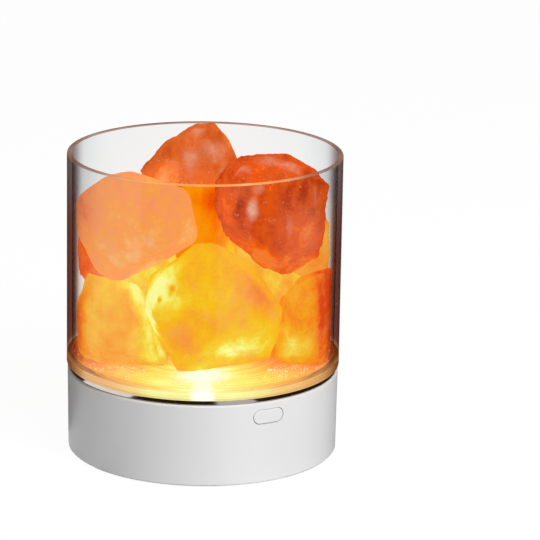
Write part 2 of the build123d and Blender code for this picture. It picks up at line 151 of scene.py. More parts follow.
def towards(tree, where, turn):
    # 1 on the side that lies in a direction round the axis, -1 on the side away from it
    level = vectorCalc(tree, "MULTIPLY", where, (1, 1, 0))
    return measure(tree, "DOT_PRODUCT", vectorCalc(tree, "NORMALIZE", level), outward(turn))


def paint(red, green, blue):
    # a screen colour, 0 to 255, as the light values that shaders take
    light = [v / 255 / 12.92 if v < 10.3 else ((v / 255 + 0.055) / 1.055) ** 2.4 for v in (red, green, blue)]
    return (*light, 1)


def darker(color, share):  # of the same screen colour
    return paint(*[v * share for v in color])


def grey(level):
    return (level, level, level, 1)


def colorRamp(tree, factor, stops):
    node = addNode(tree, "ShaderNodeValToRGB", {"Fac": factor})
    while len(node.color_ramp.elements) < len(stops):
        node.color_ramp.elements.new(0.5)
    for element, (place, color) in zip(node.color_ramp.elements, stops):
        element.position = place
        element.color = paint(*color)
    return node.outputs["Color"]


def mixColors(tree, factor, first, second, how="MIX"):
    node = addNode(tree, "ShaderNodeMix", data_type="RGBA", blend_type=how)
    plug(tree, factor, node.inputs[0])
    plug(tree, first, node.inputs[6])
    plug(tree, second, node.inputs[7])
    return node.outputs[2]


def tinted(tree, color, tint):
    return mixColors(tree, 1.0, color, tint, "MULTIPLY")


def bump(tree, height, strength, distance):
    inputs = {"Height": height, "Strength": strength, "Distance": distance}
    return addNode(tree, "ShaderNodeBump", inputs).outputs["Normal"]


def mixShaders(tree, factor, first, second):
    return addNode(tree, "ShaderNodeMixShader", {0: factor, 1: first, 2: second}).outputs[0]


def newMaterial(name):
    # the material, its tree, and the places on the piece that its patterns read
    material = bpy.data.materials.new(name)
    material.use_nodes = True
    material.cycles.emission_sampling = "NONE"
    tree = material.node_tree
    tree.nodes.clear()
    return material, tree, addNode(tree, "ShaderNodeTexCoord").outputs["Object"]


def surfaced(material, shader):
    addNode(material.node_tree, "ShaderNodeOutputMaterial", {"Surface": shader})
    return material


def principled(material, inputs):
    shader = addNode(material.node_tree, "ShaderNodeBsdfPrincipled", inputs)
    return surfaced(material, shader.outputs[0])


# Meshes
def makeObject(name, data):
    thing = bpy.data.objects.new(name, data)
    scene.collection.objects.link(thing)
    return thing


def cornerArc(before, corner, after, radius, steps):
    # the points of a rounded corner of an outline
    into = (before - corner).normalized()
    out = (after - corner).normalized()
    half = into.angle(out) / 2
    start = corner + into * radius / math.tan(half)
    end = corner + out * radius / math.tan(half)
    middle = corner + (into + out).normalized() * radius / math.sin(half)
    points = []
    for k in range(steps + 1):
        direction = (start - middle).lerp(end - middle, k / steps).normalized()
        points.append(middle + direction * radius)
    return points


def roundOutline(corners, steps=5):
    # corners are (radius, height, rounding) in millimetres; the outline is closed
    plain = [Vector((r, z)) for r, z, _ in corners]
    points = []
    for k, (_, _, rounding) in enumerate(corners):
        before, corner, after = plain[k - 1], plain[k], plain[(k + 1) % len(plain)]
        points += cornerArc(before, corner, after, rounding, steps) if rounding else [corner]
    return points


def turned(mesh, outline, segments):
    # adds a solid of revolution about Z to a bmesh; the outline runs round in millimetres
    turns = [2 * math.pi * k / segments for k in range(segments)]
    rows = []
    for point in outline:
        onAxis = point.x < 1e-6
        places = [(0, 0, point.y * mm)] if onAxis else [
            (point.x * mm * math.cos(a), point.x * mm * math.sin(a), point.y * mm) for a in turns]
        rows.append([mesh.verts.new(place) for place in places])
    for k, row in enumerate(rows):
        following = rows[(k + 1) % len(rows)]
        if len(row) == 1 and len(following) == 1:
            continue
        for s in range(segments):
            nextTurn = (s + 1) % segments
            ring = [row[s % len(row)], row[nextTurn % len(row)],
                    following[nextTurn % len(following)], following[s % len(following)]]
            mesh.faces.new(list(dict.fromkeys(ring)))  # three corners where a row is on the axis


def meshData(mesh, name):
    data = bpy.data.meshes.new(name)
    mesh.to_mesh(data)
    mesh.free()
    return data


def finishTurned(mesh, name):
    bmesh.ops.recalc_face_normals(mesh, faces=mesh.faces)
    data = meshData(mesh, name)
    data.shade_smooth()
    data.set_sharp_from_angle(angle=math.radians(sharpAngle))
    return makeObject(name, data)


def plainCopy(node, name):
    # a CAD node's mesh with its loose triangles joined
    mesh = bmesh.new()
    mesh.from_mesh(frame["nodes"][node].data)
    bmesh.ops.remove_doubles(mesh, verts=mesh.verts, dist=weldDistance)
    return meshData(mesh, name)


def finished(piece, name):
    # the piece as its modifiers leave it, as a plain mesh
    bpy.context.view_layer.update()
    evaluated = piece.evaluated_get(bpy.context.evaluated_depsgraph_get())
    data = bpy.data.meshes.new_from_object(evaluated)
    data.name = name
    piece.modifiers.clear()
    piece.data = data
    return piece


def newTree(name, inputs):
    # a Geometry Nodes group that takes and gives geometry, and its own inputs
    tree = bpy.data.node_groups.new(name, "GeometryNodeTree")
    tree.interface.new_socket("Geometry", in_out="INPUT", socket_type="NodeSocketGeometry")
    for label, kind in inputs.items():
        tree.interface.new_socket(label, in_out="INPUT", socket_type="NodeSocket" + kind)
    tree.interface.new_socket("Geometry", in_out="OUTPUT", socket_type="NodeSocketGeometry")
    return tree, addNode(tree, "NodeGroupInput").outputs


def endTree(tree, geometry, material):
    joined = addNode(tree, "GeometryNodeRealizeInstances", {0: geometry})
    painted = addNode(tree, "GeometryNodeSetMaterial", {"Geometry": joined.outputs[0], "Material": material})
    addNode(tree, "NodeGroupOutput", {"Geometry": painted.outputs[0]})
    return tree


def setInputs(modifier, values):
    # a Geometry Nodes modifier keeps its inputs under their sockets' identifiers
    for item in modifier.node_group.interface.items_tree:
        if item.in_out == "INPUT" and item.name in values:
            modifier[item.identifier] = values[item.name]


cameraSettings = {
    "sensor": 36,
    "lens": 212.64,
    "near": 0.01,
    "distance": 1.055025,  # from the lamp's axis
    "height": 0.356560,
    "pitch": 15.5412,
    "yaw": 1.23042,
    "roll": 1.01454,
}


def addCamera(s):
    data = bpy.data.cameras.new("camera")
    data.lens = s["lens"]
    data.sensor_width = s["sensor"]
    data.clip_start = s["near"]
    camera = makeObject("camera", data)
    camera.matrix_world = (
        Matrix.Rotation(math.radians(lampFront), 4, "Z")
        @ Matrix.Translation((0, -s["distance"], s["height"]))
        @ Matrix.Rotation(math.radians(-s["yaw"]), 4, "Z")
        @ Matrix.Rotation(math.radians(90 - s["pitch"]), 4, "X")
        @ Matrix.Rotation(math.radians(s["roll"]), 4, "Z")
    )
    scene.camera = camera


addCamera(cameraSettings)
print("camera placed")

# The salt lumps are the CAD ones, worn round and chipped
lumpShape = {
    "voxel": 0.55 * mm,
    "wear": 2,
    "swell": 0.3 * mm,  # the chips and dents go in from here
    "chipSize": 9.0 * mm,
    "chipSlope": 0.06,
    "chipBlend": 0.25,
    "chipLevel": 0.45,  # of a chip's size; more leaves less of the skin untouched
    "dentSize": 9.0 * mm,
    "dentDepth": 0.6 * mm,
    "dentRange": (0.35, 0.7),
    "grainSize": 2.0 * mm,
    "grainDepth": 0.12 * mm,
    "crackSize": 16.0 * mm,
    "crackDepth": 0.12 * mm,
    "crackWidth": 0.05,
}

# The LEDs under the cup light the salt from inside, which is painted as glow: 0 to 1, looked up in the
# lump's ramp. Spots are (x, y, z and radius in millimetres, gain, stretch upwards): a lump glows more
# where it is thin or lies near an LED, and less where it is cloudy; spots with a negative gain also paint
# shade.
# Frost is pale bruised salt and painted highlights, given the same way, and pits are small dark holes whose
# shade is painted, given without a gain.
saltFinish = {
    "light": 1.0,
    "gloss": 0.01,
    "spots": (),
    "spotStir": 5 * mm,  # how ragged the spots' edges are
    "squeeze": -0.75,  # the clouds lie in layers, drawn out from the front to the back
    "cloud": 0.12,
    "fine": 0.6,  # small clouds, as a share of the large ones
    "specks": 0.04,
    "ridges": 0.0,
    "pits": (),
    "pitDepth": 0.8,
    "pitStretch": 1.2,
    "pink": 0.3,
    "blush": (250, 146, 84),
    "frostAndHighlights": (),
    "veins": 0.04,
    "veinWidth": 0.02,
    "grains": 0.1,
    "pale": (232, 176, 148),
    "bumpStrength": 0.2,
    "bumpDepth": 0.4 * mm,
}

# How close the salt's patterns lie, as the scale of their noise or cells
saltPitch = {
    "stir": 130.0,
    "clouds": 75,
    "fineClouds": 310,
    "specks": 1000,
    "ridges": (260, 260, 70),
    "pink": 120,
    "frostAndHighlights": 900,
    "veins": 240,
    "veinPatches": 90,
    "grains": 900.0,
    "grainPatches": 200,
    "skin": 700,
    "cracks": 330.0,
}

deepSalt = [(0.0, (232, 84, 28)), (0.2, (250, 128, 38)), (0.4, (250, 162, 50)), (0.55, (251, 182, 62)),
            (0.7, (250, 202, 64)), (0.85, (251, 226, 80)), (1.0, (252, 248, 136))]

saltLumps = {
    "crystal_front": {
        "slot": "salt_amber", "light": 1.03, "albedo": 0.04, "glow": 0.42, "wear": 5,
        "cloud": 0.1, "fine": 0.5, "pink": 0.4, "blush": (250, 164, 92), "pale": (251, 178, 112),
        "ramp": [(0.0, (246, 120, 40)), (0.22, (251, 154, 56)), (0.4, (251, 176, 38)),
                 (0.55, (251, 192, 30)), (0.7, (250, 207, 46)), (0.82, (250, 228, 80)),
                 (0.92, (250, 248, 120)), (1.0, (254, 254, 156))],
        "spots": [(-27, -13, 62, 17, 0.55), (-25, -23, 64, 12, 0.5), (-27, -9, 50, 13, 0.3),
                  (-18, -14, 71, 10, 0.25), (-27, -12, 50, 12, 0.3), (-12, -34, 62, 11, 0.12),
                  (-9, -35, 41, 16, 0.5), (0, -38, 49, 14, 0.2), (-13, -22, 34, 11, 0.4),
                  (-2, -38, 67, 11, -0.25), (-24, -31, 47, 9, -0.15), (4, -37, 62, 9, -0.2),
                  (8, -33, 44, 9, 0.2)],
        "frostAndHighlights": [(-2, -38, 64, 6, 0.3), (4, -38, 57, 4, 0.25), (-12, -36, 56, 5, 0.2)],
        "pits": [(-28.5, -22.5, 61.6, 1.9), (-25.5, -25, 65, 2.3)]},
    "crystal_left": {
        "slot": "salt_orange", "light": 1.03, "albedo": 0.04, "glow": 0.53, "wear": 7,
        "cloud": 0.1, "fine": 0.5, "pink": 0.2,
        "ramp": deepSalt,
        "spots": [(-45, 9, 45, 10, -0.5, 2.2), (-27, -17, 44, 12, 0.5), (-25, -2, 57, 17, 0.5),
                  (-27, -17, 36, 9, 0.3), (-33, -6, 58, 6, -0.12), (-22, 5, 58, 10, 0.4),
                  (-21, -9, 40, 6, 0.5, 2)]},
    "crystal_right": {
        "slot": "salt_orange", "light": 1.03, "albedo": 0.04, "glow": 0.44, "wear": 7,
        "fine": 0.5, "pink": 0.2,
        "ramp": [(0.0, (226, 74, 28)), (0.2, (249, 116, 34)), (0.4, (250, 152, 32)), (0.55, (250, 174, 36)),
                 (0.7, (250, 190, 50)), (0.85, (250, 212, 76)), (1.0, (252, 240, 130))],
        "spots": [(13, -34, 46, 12, 0.2), (12, -40, 43, 12, 0.36), (23, -38, 62, 9, -0.12),
                  (32, -29, 50, 13, -0.45, 3), (26, -36, 50, 6, -0.35, 4)]},
    "crystal_back_left": {
        "slot": "salt_orange", "albedo": 0.08, "glow": 0.72,
        "ramp": deepSalt,
        "spots": [(-14, 21, 58, 12, 0.2), (-20, 40, 44, 14, -0.2)]},
    "crystal_back_right": {
        "slot": "salt_orange", "albedo": 0.08, "glow": 0.58,
        "ramp": deepSalt,
        "spots": [(24, -3, 57, 7, 0.2), (32, -4, 55, 6, -0.2), (22, 38, 46, 16, -0.2)]},
    "crystal_middle": {
        "slot": "salt_amber", "light": 1.05, "albedo": 0.03, "glow": 0.46,
        "fine": 0.3, "pink": 0.0, "grains": 0.0, "veins": 0.0,
        "ramp": [(0.0, (240, 80, 2)), (0.3, (250, 116, 2)), (0.5, (251, 142, 4)), (0.7, (252, 160, 14)),
                 (1.0, (252, 206, 44))],
        "spots": [(-7, -2, 82, 8, 0.2), (9, 1, 67, 10, 0.6), (2, -4, 90, 9, -0.5),
                  (3, -8, 82, 7, -0.34), (-3, -8, 74, 6, 0.1)]},
    "crystal_rear_left": {
        "slot": "salt_orange", "albedo": 0.06, "glow": 0.4, "pink": 0.1,
        "ramp": [(0.0, (206, 50, 22)), (0.3, (246, 104, 42)), (0.6, (250, 136, 66)), (1.0, (252, 190, 100))],
        "spots": [(-40, 10, 66, 13, 0.4)]},
    "crystal_rear_right": {
        "slot": "salt_amber", "albedo": 0.06, "glow": 0.55, "pink": 0.1,
        "ramp": [(0.0, (236, 96, 24)), (0.3, (248, 138, 44)), (0.6, (251, 170, 64)), (1.0, (252, 210, 100))],
        "spots": [(42, -13, 70, 8, 0.2)]},
    "crystal_top_left": {
        "slot": "salt_peach", "albedo": 0.08, "gloss": 0.04, "glow": 0.52, "wear": 30,
        "chipSlope": 0.03, "dentDepth": 0.35 * mm, "grainDepth": 0.05 * mm, "crackDepth": 0.04 * mm,
        "fine": 0.7, "pink": 0.15, "grains": 0.05,
        "ramp": [(0.0, (230, 120, 78)), (0.3, (248, 146, 100)), (0.5, (250, 156, 92)), (0.62, (251, 160, 76)),
                 (0.75, (251, 172, 100)), (0.88, (250, 188, 118)), (1.0, (250, 216, 140))],
        "spots": [(-38, -12, 74, 13, 0.34), (-24, -7, 68, 11, 0.4), (-44, 6, 90, 12, -0.3),
                  (-14, -15, 80, 9, 0.12), (-17, -16, 86, 10, 0.1), (-30, -18, 80, 8, 0.25)],
        "frostAndHighlights": [(-31, -18.5, 81.5, 3.4, 0.4, 0.5), (-27, -18, 79, 2.6, 0.5, 0.4), (-41, -9, 79, 5, 0.25)]},
    "crystal_top_right": {
        "slot": "salt_red", "albedo": 0.03, "gloss": 0.02, "glow": 0.48, "wear": 6, "swell": 0.4 * mm,
        "chipSlope": 0.05, "dentSize": 7.0 * mm, "dentDepth": 1.1 * mm, "grainDepth": 0.1 * mm,
        "ridges": 0.05, "cloud": 0.18, "fine": 0.8, "pink": 0.08, "grains": 0.5, "veins": 0.0,
        "ramp": [(0.0, (160, 38, 2)), (0.2, (196, 60, 10)), (0.4, (217, 78, 22)), (0.55, (228, 86, 22)),
                 (0.7, (238, 84, 4)), (0.82, (249, 104, 20)), (1.0, (251, 126, 44))],
        "spots": [(-4, -18, 89, 12, 0.3), (22, -28, 67, 13, 0.5), (8, -22, 70, 12, 0.4),
                  (-1, -27, 92, 4, -0.32, 3), (10, -29, 74, 10, 0.4), (18, -24, 104, 8, 0.2),
                  (20, -37, 82, 10, 0.3), (28, -30, 78, 9, 0.3), (17, -31, 70, 3, -0.6)],
        # the first spot here is a painted highlight: a pale streak where a facet would mirror the light
        "frostAndHighlights": [(1.5, -31, 92, 2.6, 1.3, 2.2), (15, -18, 104, 7, 0.4), (2, -21, 103, 4.5, 0.5),
                  (12, -37, 87, 2.2, 0.4, 4), (25, -33, 95, 4, 0.3, 1.6), (4, -29, 98, 3.4, 0.6),
                  (20, -23, 103, 6, 0.6), (20, -34, 80, 17, 0.22, 1.3)]},
    "crystal_top_back": {
        "slot": "salt_brick", "light": 0.96, "albedo": 0.1, "gloss": 0.06, "glow": 0.38,
        "chipSlope": 0.05, "dentSize": 7.0 * mm,
        "ridges": 0.04, "cloud": 0.14, "pink": 0.4, "grains": 0.4, "veins": 0.0,
        "ramp": [(0.0, (178, 62, 18)), (0.3, (212, 92, 32)), (0.5, (226, 104, 44)), (0.65, (238, 100, 26)),
                 (0.82, (247, 132, 60)), (1.0, (250, 156, 90))],
        "spots": [(-8, 15, 92, 9, 0.5), (5, 4, 93, 9, 0.28), (10, 5, 100, 7, 0.15), (-5, 10, 97, 6, 0.15)],
        "frostAndHighlights": [(4, 15, 109, 6, 0.5), (-2, 7, 101, 5, 0.55, 1.4), (6, 6, 103, 6, 0.45),
                  (9, 5, 97, 4, 0.3)]},
}


def lumpTree(s):
    # wears a lump's edges, swells it a little, then chips, dents and cracks it
    sizes = ("Swell", "Chip size", "Chip slope", "Dent size", "Dent depth", "Grain size", "Grain depth",
             "Crack size", "Crack depth")
    tree, given = newTree("saltFracture", {"Wear": "Int", "Seed": "Int", **dict.fromkeys(sizes, "Float"),
                                           "Finish": "Material"})
    where = addNode(tree, "GeometryNodeInputPosition").outputs[0]
    normal = addNode(tree, "GeometryNodeInputNormal").outputs[0]

    worn = addNode(tree, "GeometryNodeBlurAttribute", data_type="FLOAT_VECTOR")
    wornInput = [socket for socket in worn.inputs if socket.enabled and socket.type == "VECTOR"][0]
    plug(tree, where, wornInput)
    plug(tree, given["Wear"], worn.inputs["Iterations"])
    wornPlace = [socket for socket in worn.outputs if socket.enabled][0]
    rounded = addNode(tree, "GeometryNodeSetPosition", {"Geometry": given["Geometry"], "Position": wornPlace})

    shifted = vectorCalc(tree, "ADD", where, joinAxes(tree, given["Seed"], given["Seed"], given["Seed"]))

    def perSize(name):
        return calc(tree, "DIVIDE", 1.0, given[name])

    # every cell of the skin is cut by its own plane, tilted at random
    chips = cells(tree, shifted, perSize("Chip size"), "SMOOTH_F1", Smoothness=s["chipBlend"])
    tilt = vectorCalc(tree, "SUBTRACT", chips["Color"], (0.5, 0.5, 0.5))
    reach = vectorCalc(tree, "SUBTRACT", shifted, chips["Position"])
    slant = measure(tree, "DOT_PRODUCT", tilt, reach)
    level = calc(tree, "MULTIPLY", given["Chip size"], s["chipLevel"])
    chip = calc(tree, "MULTIPLY", calc(tree, "ADD", slant, level), given["Chip slope"])
    chip = calc(tree, "MAXIMUM", chip, 0.0)

    dentNoise = spread(tree, noise(tree, shifted, perSize("Dent size"), 2.0), *s["dentRange"])
    dent = calc(tree, "MULTIPLY", dentNoise, given["Dent depth"])
    grain = calc(tree, "MULTIPLY", noise(tree, shifted, perSize("Grain size"), 3.0), given["Grain depth"])
    seams = cells(tree, shifted, perSize("Crack size"), "DISTANCE_TO_EDGE")
    seam = spread(tree, seams["Distance"], 0.0, s["crackWidth"], 1.0, 0.0)
    crack = calc(tree, "MULTIPLY", seam, given["Crack depth"])
    depth = calc(tree, "ADD", calc(tree, "ADD", chip, dent), calc(tree, "ADD", grain, crack))
    shift = scaled(tree, normal, calc(tree, "SUBTRACT", given["Swell"], depth))
    chipped = addNode(tree, "GeometryNodeSetPosition", {"Geometry": rounded.outputs[0], "Offset": shift})
    return endTree(tree, chipped.outputs[0], given["Finish"])


def spotOn(tree, where, x, y, z, radius, tall=1.0):
    # 1 in the middle of a spot, fading to 0 at its radius
    away = vectorCalc(tree, "SUBTRACT", where, (x * mm, y * mm, z * mm))
    squeezed = vectorCalc(tree, "MULTIPLY", away, (1, 1, 1 / tall))
    return spread(tree, measure(tree, "LENGTH", squeezed), 0.0, radius * mm, 1.0, 0.0)


def saltMaterial(name, s, pitch):
    material, tree, where = newMaterial(name)
    front = outward(lampFront - 90)
    depth = measure(tree, "DOT_PRODUCT", where, front)
    layered = vectorCalc(tree, "ADD", where, scaled(tree, front, calc(tree, "MULTIPLY", depth, s["squeeze"])))
    stir = addNode(tree, "ShaderNodeTexNoise", {"Vector": layered, "Scale": pitch["stir"], "Detail": 2.0})
    stir = vectorCalc(tree, "SUBTRACT", stir.outputs["Color"], (0.5, 0.5, 0.5))
    stirred = vectorCalc(tree, "ADD", where, scaled(tree, stir, s["spotStir"]))

    glow = s["glow"]
    # spots paint light into the glow, and with a negative gain they paint shade
    for x, y, z, radius, gain, *tall in s["spots"]:
        glow = calc(tree, "MULTIPLY_ADD", spotOn(tree, stirred, x, y, z, radius, *tall), gain, glow)
    clouds = {"clouds": s["cloud"], "fineClouds": s["fine"] * s["cloud"], "specks": s["specks"]}
    for key, amount in clouds.items():
        patch = noise(tree, layered, pitch[key], 2.5, 0.5)
        glow = calc(tree, "ADD", glow, spread(tree, patch, 0.3, 0.7, -amount, amount))
    ridge = noise(tree, vectorCalc(tree, "MULTIPLY", layered, pitch["ridges"]), 1.0, 2.0)
    if s["ridges"]:
        glow = calc(tree, "ADD", glow, spread(tree, ridge, 0.3, 0.7, -s["ridges"], s["ridges"]))
    # pits lower the glow: painted shade of small holes
    for x, y, z, radius in s["pits"]:
        pit = spotOn(tree, stirred, x, y, z, radius, s["pitStretch"])
        glow = calc(tree, "MULTIPLY_ADD", pit, -s["pitDepth"], glow)
    color = colorRamp(tree, calc(tree, "ADD", glow, 0.0, clamp=True), s["ramp"])

    # cloudy pink patches, frost and painted highlights, thin pale veins and light grains in the salt
    pinkPatch = spread(tree, noise(tree, layered, pitch["pink"], 4.0, 0.6, 0.3), 0.5, 0.7, 0.0, s["pink"])
    color = mixColors(tree, pinkPatch, color, paint(*s["blush"]))
    frostAndHighlights = 0.0
    # frost spots give pale bruised salt and painted highlights
    for x, y, z, radius, amount, *tall in s["frostAndHighlights"]:
        frostAndHighlights = calc(tree, "MULTIPLY_ADD", spotOn(tree, stirred, x, y, z, radius, *tall), amount, frostAndHighlights)
    bruise = noise(tree, layered, pitch["frostAndHighlights"], 4.0, 0.7)
    frostAndHighlights = calc(tree, "MULTIPLY", frostAndHighlights, spread(tree, bruise, 0.3, 0.62, 0.45, 1.0))
    veinNoise = calc(tree, "SUBTRACT", noise(tree, layered, pitch["veins"], 4.0, 0.6, 0.5), 0.5)
    vein = spread(tree, calc(tree, "ABSOLUTE", veinNoise), 0.0, s["veinWidth"], s["veins"], 0.0)
    vein = calc(tree, "MULTIPLY", vein, spread(tree, noise(tree, where, pitch["veinPatches"]), 0.48, 0.65))
    grain = spread(tree, cells(tree, where, pitch["grains"])["Distance"], 0.1, 0.3, s["grains"], 0.0)
    grain = calc(tree, "MULTIPLY", grain, spread(tree, noise(tree, where, pitch["grainPatches"]), 0.45, 0.6))
    pale = calc(tree, "MAXIMUM", frostAndHighlights, calc(tree, "MAXIMUM", vein, grain))
    color = mixColors(tree, calc(tree, "ADD", pale, 0.0, clamp=True), color, paint(*s["pale"]))

    # a finely broken skin
    rough = noise(tree, layered, pitch["skin"], 4.0)
    crack = spread(tree, cells(tree, where, pitch["cracks"], "DISTANCE_TO_EDGE")["Distance"], 0.0, 0.06)
    surface = calc(tree, "ADD", calc(tree, "MULTIPLY", rough, 0.6), calc(tree, "MULTIPLY", crack, 0.08))
    surface = calc(tree, "MULTIPLY_ADD", ridge, 3.0 * s["ridges"], surface)
    return principled(material, {
        "Base Color": tinted(tree, color, grey(s["albedo"])),
        "Roughness": spread(tree, rough, 0.3, 0.7, 0.35, 0.6),
        "IOR": 1.54,
        "Specular IOR Level": s["gloss"],
        "Normal": bump(tree, surface, s["bumpStrength"], s["bumpDepth"]),
        "Emission Color": color,
        "Emission Strength": s["light"],
    })


def addLumps():
    tree = lumpTree(lumpShape)
    for number, (node, own) in enumerate(saltLumps.items()):
        s = lumpShape | saltFinish | own
        name = node.replace("crystal", "salt")
        piece = makeObject(name, plainCopy(node, node))
        remesh = piece.modifiers.new("remesh", "REMESH")
        remesh.mode = "VOXEL"
        remesh.voxel_size = s["voxel"] * 1
        fracture = piece.modifiers.new("fracture", "NODES")
        fracture.node_group = tree
        setInputs(fracture, {
            "Wear": s["wear"], "Seed": number + 1, "Swell": s["swell"],
            "Chip size": s["chipSize"], "Chip slope": s["chipSlope"],
            "Dent size": s["dentSize"], "Dent depth": s["dentDepth"],
            "Grain size": s["grainSize"], "Grain depth": s["grainDepth"],
            "Crack size": s["crackSize"], "Crack depth": s["crackDepth"],
            "Finish": saltMaterial(name, s, saltPitch),
        })
        finished(piece, name)
        piece.data.shade_smooth()
        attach(piece, frame["nodes"][node]["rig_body"])
        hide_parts(node)


addLumps()
print("salt lumps chipped")

# Crumbs of salt on the cup's floor; lengths in millimetres
crumbSettings = {
    "count": 1000,  # tries, of which those that would touch a lump are left out
    "seed": 8,
    "least": 0.12,
    "most": 0.36,
    "inner": 30.0,
    "outer": 44.5,
    "gathered": ((-58, 20), (190, 14), (-50, 26), (0, 180)),  # directions, and degrees to either side
    "lift": 0.8,  # of a crumb's size
    "clearance": 0.9,  # of a crumb's size
    "unevenness": 0.45,
    "flatness": 0.8,
    "light": 0.75,
}


def crumbPlaces(s):
    chance = random.Random(s["seed"])
    lumps = []
    for node in saltLumps:
        data = frame["nodes"][node].data
        corners = [vertex.co.copy() for vertex in data.vertices]
        lumps.append(BVHTree.FromPolygons(corners, [tuple(face.vertices) for face in data.polygons]))
    places = []
    for k in range(s["count"]):
        size = chance.uniform(s["least"], s["most"]) * chance.uniform(0.6, 1.0) * mm
        middle, width = s["gathered"][k % len(s["gathered"])]
        turn = middle + chance.uniform(-width, width)
        out = chance.uniform(s["inner"], s["outer"]) * mm
        place = outward(turn, out) + raised(floorTop + s["lift"] * size)
        clear = True
        for lump in lumps:
            near, facing, _, distance = lump.find_nearest(place)
            if (place - near).dot(facing) < 0 or distance < s["clearance"] * size:
                clear = False
        if clear:
            places.append((place, size))
    return places


def crumbTree(s):
    # an uneven grain on every point, of the point's size
    tree, given = newTree("saltCrumbs", {"Seed": "Int", "Unevenness": "Float", "Finish": "Material"})
    shape = addNode(tree, "GeometryNodeMeshIcoSphere", {"Radius": 1.0, "Subdivisions": 1})
    size = addNode(tree, "GeometryNodeInputNamedAttribute", {"Name": "size"}, data_type="FLOAT")
    least = calc(tree, "SUBTRACT", 1.0, given["Unevenness"])

    def chanceBetween(low, high):
        node = addNode(tree, "FunctionNodeRandomValue", {"Seed": given["Seed"]}, data_type="FLOAT_VECTOR")
        ends = [socket for socket in node.inputs if socket.type == "VECTOR"]
        plug(tree, low, ends[0])
        plug(tree, high, ends[1])
        return node.outputs[0]

    stretch = chanceBetween(joinAxes(tree, least, least, least), (1, 1, s["flatness"]))
    sizeOut = [socket for socket in size.outputs if socket.enabled][0]
    strewn = addNode(tree, "GeometryNodeInstanceOnPoints", {
        "Points": given["Geometry"], "Instance": shape.outputs["Mesh"],
        "Rotation": chanceBetween((0, 0, 0), (6.28, 6.28, 6.28)), "Scale": scaled(tree, stretch, sizeOut)})
    return endTree(tree, strewn.outputs[0], given["Finish"])


def crumbMaterial(s):
    material, tree, where = newMaterial("saltCrumbs")
    tone = noise(tree, where, 400, 2.0)
    color = colorRamp(tree, tone, [(0.3, (226, 132, 92)), (0.5, (248, 180, 132)), (0.66, (254, 222, 192))])
    # the crumbs glow with painted light, as if lit from the floor under them
    return principled(material, {
        "Base Color": color, "Roughness": 0.5, "Emission Color": color, "Emission Strength": s["light"]})


def addCrumbs(s):
    places = crumbPlaces(s)
    data = bpy.data.meshes.new("crumbs")
    data.from_pydata([place for place, _ in places], [], [])
    data.attributes.new("size", "FLOAT", "POINT").data.foreach_set("value", [size for _, size in places])
    crumbs = makeObject("saltCrumbs", data)
    strew = crumbs.modifiers.new("strew", "NODES")
    strew.node_group = crumbTree(s)
    setInputs(strew, {"Seed": s["seed"], "Unevenness": s["unevenness"], "Finish": crumbMaterial(s)})
    finished(crumbs, "saltCrumbs")
    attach(crumbs, "root")


addCrumbs(crumbSettings)
print("crumbs strewn")

# The clear cup; lengths in millimetres
cupSettings = {
    "wall": 1.8,
    "rimRound": 0.6,
    "footRound": 0.5,
    "cornerRound": 1.2,
    "segments": 192,
    "bossRadius": 2.6,
    "bossCircle": 34.0,
    "bossAngles": (30, 150, 270),
    "bossSegments": 32,
    # tints by how far the wall is turned away, at the lit salt and at the rim: painted shade of the dark room
    # that the wall mirrors and bends, over the acrylic's own brown; redder at the lit salt with its painted
    # light
    "outerTintsAndShade": (
        [(0.0, (251, 251, 250)), (0.55, (249, 248, 247)), (0.6, (238, 235, 234)), (0.635, (205, 192, 188)),
         (0.67, (174, 150, 144)), (0.72, (162, 128, 118)), (0.9, (160, 124, 114)), (1.0, (190, 168, 160))],
        [(0.0, (251, 251, 250)), (0.3, (249, 249, 249)), (0.45, (246, 247, 247)), (0.54, (242, 242, 242)),
         (0.58, (230, 228, 229)), (0.62, (208, 204, 206)), (0.66, (186, 178, 180)), (0.72, (166, 154, 156)),
         (0.9, (166, 154, 154)), (1.0, (198, 190, 190))]),
    "innerTintsAndShade": (
        [(0.0, (251, 251, 250)), (0.6, (250, 249, 248)), (0.75, (242, 238, 237)), (0.88, (232, 221, 217)),
         (1.0, (218, 200, 194))],
        [(0.0, (251, 251, 250)), (0.3, (248, 249, 249)), (0.45, (243, 244, 244)), (0.6, (238, 239, 239)),
         (0.75, (230, 229, 230)), (0.88, (224, 220, 222)), (1.0, (214, 209, 210))]),
    "saltHeight": 70,  # the tints change from here up
    "footTint": (252, 232, 206),
    "footHeight": 2.5,
    "footShare": 0.75,
    "mirrorLeast": 0.012,  # face on
    "mirrorGain": 0.35,  # more, seen along the wall
    "dust": 0.6,
    "dustColor": (206, 196, 190),
}

rimSettings = {
    "brown": [(0.3, (122, 84, 68)), (0.5, (142, 100, 83)), (0.7, (166, 124, 106))],
    "warm": [(0.3, (236, 140, 70)), (0.5, (252, 176, 100)), (0.7, (255, 206, 150))],
    "warmFrom": 0.62,  # 1 is straight to the front
    "warmTo": 0.92,
    "albedo": 0.25,
    "light": 0.8,
    "density": 0.85,
}

